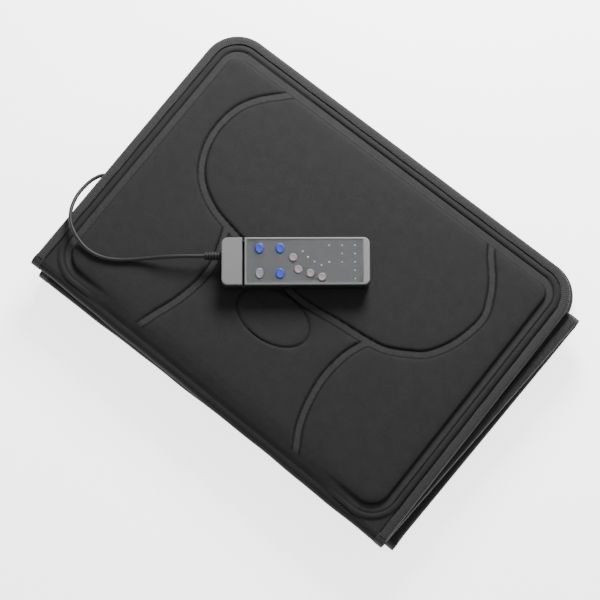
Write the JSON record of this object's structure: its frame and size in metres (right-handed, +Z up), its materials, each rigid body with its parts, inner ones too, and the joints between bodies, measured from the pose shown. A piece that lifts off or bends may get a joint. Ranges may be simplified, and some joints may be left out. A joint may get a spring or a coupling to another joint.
{
  "type": "folding massage mat",
  "caption": "Concertina-folded heated vibrating massage mat: padded moulded panels with bound edges, cover-fabric folds, a power inlet and a corded button handset lying on the top panel",
  "frame": {"origin": "centre of the underside of the folded mat's box, the free lead left out, on the surface it lies on", "axes": "+X across the mat, along the fold lines; +Y from the first fold towards the top panel's free end; +Z up"},
  "size_m": [0.5571, 0.4024, 0.0951],
  "materials": {
    "cover_fabric": "black knitted cover fabric laminated to moulded foam",
    "back_fabric": "black woven backing fabric",
    "binding_tape": "black ribbed woven edge binding",
    "foam": "grey soft foam, open cells",
    "heater_film": "thin heating pad with a carbon element",
    "motor_steel": "plated steel motor can",
    "weight_metal": "sintered heavy metal weight",
    "black_plastic": "black moulded plastic, fine texture",
    "grey_plastic": "grey moulded plastic, satin",
    "clear_window": "clear plastic display window",
    "circuit_board": "green circuit board with solder mask",
    "led_white": "milky light guide",
    "lead_rubber": "dark grey flexible cable jacket",
    "screw_steel": "plated steel screw",
    "lilac_button": "greyish lilac soft plastic",
    "white_button": "off-white soft plastic",
    "blue_button": "blue soft plastic"
  },
  "bodies": {
    "panel_1": {"panel_1_top_cover": "cover_fabric", "panel_1_foam_core": "foam", "panel_1_back_cover": "back_fabric", "panel_1_binding": "binding_tape", "panel_1_motor_left": "motor_steel", "panel_1_motor_right": "motor_steel", "panel_1_heater": "heater_film", "fold_1_gusset": "cover_fabric", "lead_gland": "black_plastic", "dc_inlet": "black_plastic", "handset_lead": "lead_rubber"},
    "panel_2": {"panel_2_top_cover": "cover_fabric", "panel_2_foam_core": "foam", "panel_2_back_cover": "back_fabric", "panel_2_binding_left": "binding_tape", "panel_2_binding_right": "binding_tape", "panel_2_motor_left": "motor_steel", "panel_2_motor_right": "motor_steel", "panel_2_heater": "heater_film", "fold_2_gusset": "cover_fabric"},
    "panel_3": {"panel_3_top_cover": "cover_fabric", "panel_3_foam_core": "foam", "panel_3_back_cover": "back_fabric", "panel_3_binding_left": "binding_tape", "panel_3_binding_right": "binding_tape", "panel_3_motor_left": "motor_steel", "panel_3_motor_right": "motor_steel", "fold_3_gusset": "cover_fabric"},
    "panel_4": {"panel_4_top_cover": "cover_fabric", "panel_4_foam_core": "foam", "panel_4_back_cover": "back_fabric", "panel_4_binding": "binding_tape", "panel_4_motor_left": "motor_steel", "panel_4_motor_right": "motor_steel"},
    "handset": {"handset_lower_shell": "black_plastic", "handset_upper_shell": "grey_plastic", "handset_end_cap": "grey_plastic", "handset_window": "clear_window", "handset_circuit_board": "circuit_board", "handset_led_guide": "led_white", "handset_strain_relief": "lead_rubber", "handset_screw_1": "screw_steel", "handset_screw_2": "screw_steel"},
    "program_button": {"program_button": "blue_button"},
    "intensity_button": {"intensity_button": "blue_button"},
    "power_button": {"power_button": "lilac_button"},
    "heat_button": {"heat_button": "blue_button"},
    "zone_1_button": {"zone_1_button": "white_button"},
    "zone_2_button": {"zone_2_button": "white_button"},
    "zone_3_button": {"zone_3_button": "white_button"},
    "zone_4_button": {"zone_4_button": "white_button"},
    "panel_1_weight_left": {"panel_1_weight_left": "weight_metal"},
    "panel_1_weight_right": {"panel_1_weight_right": "weight_metal"},
    "panel_2_weight_left": {"panel_2_weight_left": "weight_metal"},
    "panel_2_weight_right": {"panel_2_weight_right": "weight_metal"},
    "panel_3_weight_left": {"panel_3_weight_left": "weight_metal"},
    "panel_3_weight_right": {"panel_3_weight_right": "weight_metal"},
    "panel_4_weight_left": {"panel_4_weight_left": "weight_metal"},
    "panel_4_weight_right": {"panel_4_weight_right": "weight_metal"}
  },
  "joints": [
    {"name": "fold_1", "type": "hinge", "parent": "panel_1", "child": "panel_2", "pos_m": [-0.00833, -0.18578, 0.0525], "axis": [-0.9997, 0.0244, 0], "range_deg": [0, 180], "deforming": ["fold_1_gusset"]},
    {"name": "fold_2", "type": "hinge", "parent": "panel_2", "child": "panel_3", "pos_m": [0.0085, 0.15831, 0.0349], "axis": [0.9994, -0.0358, 0], "range_deg": [0, 180], "deforming": ["fold_2_gusset"]},
    {"name": "fold_3", "type": "hinge", "parent": "panel_3", "child": "panel_4", "pos_m": [0.00079, -0.18141, 0.0173], "axis": [-1, -0.0017, 0], "range_deg": [0, 180], "deforming": ["fold_3_gusset"]},
    {"name": "handset_lift", "type": "slide", "parent": "panel_1", "child": "handset", "axis": [0, 0, 1], "range_m": [0, 0.15]},
    {"name": "program_press", "type": "slide", "parent": "handset", "child": "program_button", "axis": [0, 0, -1], "range_m": [0, 0.001], "stiffness_N_per_m": 300, "springref_m": -0.0005},
    {"name": "intensity_press", "type": "slide", "parent": "handset", "child": "intensity_button", "axis": [0, 0, -1], "range_m": [0, 0.001], "stiffness_N_per_m": 300, "springref_m": -0.0005},
    {"name": "power_press", "type": "slide", "parent": "handset", "child": "power_button", "axis": [0, 0, -1], "range_m": [0, 0.001], "stiffness_N_per_m": 300, "springref_m": -0.0005},
    {"name": "heat_press", "type": "slide", "parent": "handset", "child": "heat_button", "axis": [0, 0, -1], "range_m": [0, 0.001], "stiffness_N_per_m": 300, "springref_m": -0.0005},
    {"name": "zone_1_press", "type": "slide", "parent": "handset", "child": "zone_1_button", "axis": [0, 0, -1], "range_m": [0, 0.001], "stiffness_N_per_m": 300, "springref_m": -0.0005},
    {"name": "zone_2_press", "type": "slide", "parent": "handset", "child": "zone_2_button", "axis": [0, 0, -1], "range_m": [0, 0.001], "stiffness_N_per_m": 300, "springref_m": -0.0005},
    {"name": "zone_3_press", "type": "slide", "parent": "handset", "child": "zone_3_button", "axis": [0, 0, -1], "range_m": [0, 0.001], "stiffness_N_per_m": 300, "springref_m": -0.0005},
    {"name": "zone_4_press", "type": "slide", "parent": "handset", "child": "zone_4_button", "axis": [0, 0, -1], "range_m": [0, 0.001], "stiffness_N_per_m": 300, "springref_m": -0.0005},
    {"name": "panel_1_motor_left_spin", "type": "hinge", "parent": "panel_1", "child": "panel_1_weight_left", "pos_m": [-0.11768, 0.00172, 0.0598], "axis": [1, 0, 0], "continuous": true},
    {"name": "panel_1_motor_right_spin", "type": "hinge", "parent": "panel_1", "child": "panel_1_weight_right", "pos_m": [0.11232, 0.00172, 0.0598], "axis": [1, 0, 0], "continuous": true},
    {"name": "panel_2_motor_left_spin", "type": "hinge", "parent": "panel_2", "child": "panel_2_weight_left", "pos_m": [-0.10914, -0.00839, 0.0452], "axis": [0.9988, -0.0489, 0], "continuous": true},
    {"name": "panel_2_motor_right_spin", "type": "hinge", "parent": "panel_2", "child": "panel_2_weight_right", "pos_m": [0.12059, -0.01963, 0.0452], "axis": [0.9988, -0.0489, 0], "continuous": true},
    {"name": "panel_3_motor_left_spin", "type": "hinge", "parent": "panel_3", "child": "panel_3_weight_left", "pos_m": [-0.10468, -0.00907, 0.0246], "axis": [0.9997, -0.0227, 0], "continuous": true},
    {"name": "panel_3_motor_right_spin", "type": "hinge", "parent": "panel_3", "child": "panel_3_weight_right", "pos_m": [0.12526, -0.01429, 0.0246], "axis": [0.9997, -0.0227, 0], "continuous": true},
    {"name": "panel_4_motor_left_spin", "type": "hinge", "parent": "panel_4", "child": "panel_4_weight_left", "pos_m": [-0.11346, 0.00417, 0.01], "axis": [0.9997, 0.0262, 0], "continuous": true},
    {"name": "panel_4_motor_right_spin", "type": "hinge", "parent": "panel_4", "child": "panel_4_weight_right", "pos_m": [0.11646, 0.01019, 0.01], "axis": [0.9997, 0.0262, 0], "continuous": true}
  ],
  "couplings": [
    {"joint": "fold_2", "follows": "fold_1", "ratio": 1}
  ]
}
